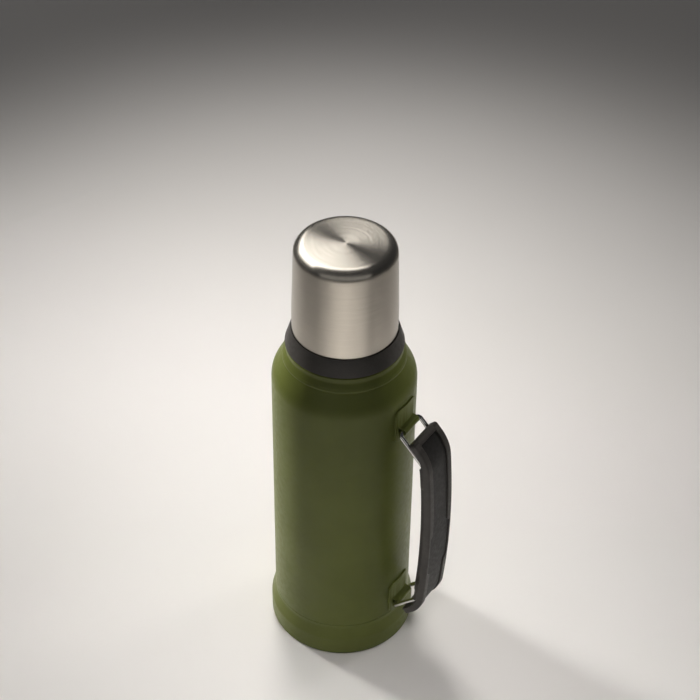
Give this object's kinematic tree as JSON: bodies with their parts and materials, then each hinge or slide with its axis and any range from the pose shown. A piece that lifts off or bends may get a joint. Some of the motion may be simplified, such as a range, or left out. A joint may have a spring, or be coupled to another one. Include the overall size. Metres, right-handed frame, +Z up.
{
  "type": "vacuum flask",
  "caption": "Double-walled steel vacuum flask with a screw stopper, a screw-on drinking cup, a conical neck collar and a rigid side handle on wire bails.",
  "frame": {"origin": "centre of the flat base, on the surface the flask stands on", "axes": "+Z up along the flask's axis to the cup's top, +X from the axis towards the handle"},
  "size_m": [0.135, 0.106, 0.3437],
  "materials": {
    "olive_coat": "satin olive green powder coat",
    "brushed_steel": "brushed around the axis",
    "plain_steel": "plain drawn stainless steel",
    "polished_wire": "polished stainless steel wire",
    "black_plastic": "satin black moulded plastic",
    "soft_black": "fine grained black plastic",
    "grey_rubber": "soft silicone rubber",
    "pale_foam": "rigid insulating foam",
    "seal_glass": "fused sealing glass"
  },
  "bodies": {
    "flask": {"outer_shell": "olive_coat", "base_cup": "olive_coat", "shell_bottom": "plain_steel", "evacuation_seal": "seal_glass", "getter": "plain_steel", "inner_liner": "plain_steel", "liner_base": "plain_steel", "neck_collar": "black_plastic", "upper_bracket": "olive_coat", "lower_bracket": "olive_coat", "upper_bail": "polished_wire", "lower_bail": "polished_wire", "grip_outer": "black_plastic", "grip_inner": "black_plastic", "grip_panel": "soft_black", "grip_screw_1": "plain_steel", "grip_screw_2": "plain_steel", "grip_screw_3": "plain_steel", "grip_screw_4": "plain_steel"},
    "cup_seal": {"cup_gasket": "grey_rubber"},
    "cup": {"cup_shell": "brushed_steel", "cup_liner": "plain_steel", "cup_thread_ring": "black_plastic"},
    "stopper_washer": {"stopper_gasket": "grey_rubber"},
    "stopper": {"stopper_shell": "black_plastic", "stopper_lid": "soft_black", "stopper_core": "pale_foam", "stopper_seal": "grey_rubber"}
  },
  "joints": [
    {"name": "cup_lift", "type": "slide", "parent": "flask", "child": "cup_seal", "axis": [0, 0, 1], "range_m": [0, 0.08]},
    {"name": "cup_turn", "type": "hinge", "parent": "cup_seal", "child": "cup", "pos_m": [0, 0, 0.282], "axis": [0, 0, 1], "range_deg": [0, 540]},
    {"name": "stopper_lift", "type": "slide", "parent": "flask", "child": "stopper_washer", "axis": [0, 0, 1], "range_m": [0, 0.033]},
    {"name": "stopper_turn", "type": "hinge", "parent": "stopper_washer", "child": "stopper", "pos_m": [0, 0, 0.282], "axis": [0, 0, 1], "range_deg": [0, 540]}
  ]
}
